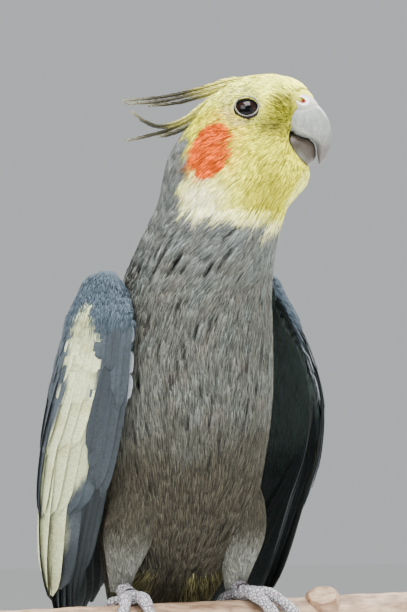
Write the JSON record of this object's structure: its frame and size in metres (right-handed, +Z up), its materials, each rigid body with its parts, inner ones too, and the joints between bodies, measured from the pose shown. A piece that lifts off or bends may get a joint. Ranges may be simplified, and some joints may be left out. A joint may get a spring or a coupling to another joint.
{
  "type": "cockatiel",
  "caption": "Life-size standing cockatiel with a raised crest and half-open wings, gripping a short branch held over a round flat base by plain rods.",
  "frame": {"origin": "centre of the underside of the round base", "axes": "+Z up, -Y the way the bird's breast faces, +X towards the bird's left, along the branch"},
  "size_m": [0.15, 0.124, 0.2984],
  "materials": {
    "yellow_plumage": "soft yellow plumage",
    "grey_plumage": "soft grey plumage",
    "flight_feathers": "smooth dark vanes with a satin surface",
    "bill_horn": "satin grey horn",
    "eye": "wet gloss",
    "foot_skin": "scaly matt skin",
    "claw_horn": "satin dark horn",
    "bark": "smooth pale bark",
    "stand_wood": "satin turned wood",
    "stand_metal": "brushed"
  },
  "bodies": {
    "root": {"head": "yellow_plumage", "neck": "grey_plumage", "torso": "grey_plumage", "rump": "grey_plumage", "thigh_right": "grey_plumage", "thigh_left": "grey_plumage", "wing_right": "flight_feathers", "wing_left": "flight_feathers", "tail": "flight_feathers", "bill_upper": "bill_horn", "bill_lower": "bill_horn", "eye_right": "eye", "eye_left": "eye", "foot_right": "foot_skin", "foot_left": "foot_skin", "claw_right_1": "claw_horn", "claw_right_2": "claw_horn", "claw_right_3": "claw_horn", "claw_right_4": "claw_horn", "claw_left_1": "claw_horn", "claw_left_2": "claw_horn", "claw_left_3": "claw_horn", "claw_left_4": "claw_horn", "perch": "bark", "stand_base": "stand_wood", "stand_rod_right": "stand_metal", "stand_rod_left": "stand_metal"}
  },
  "joints": []
}
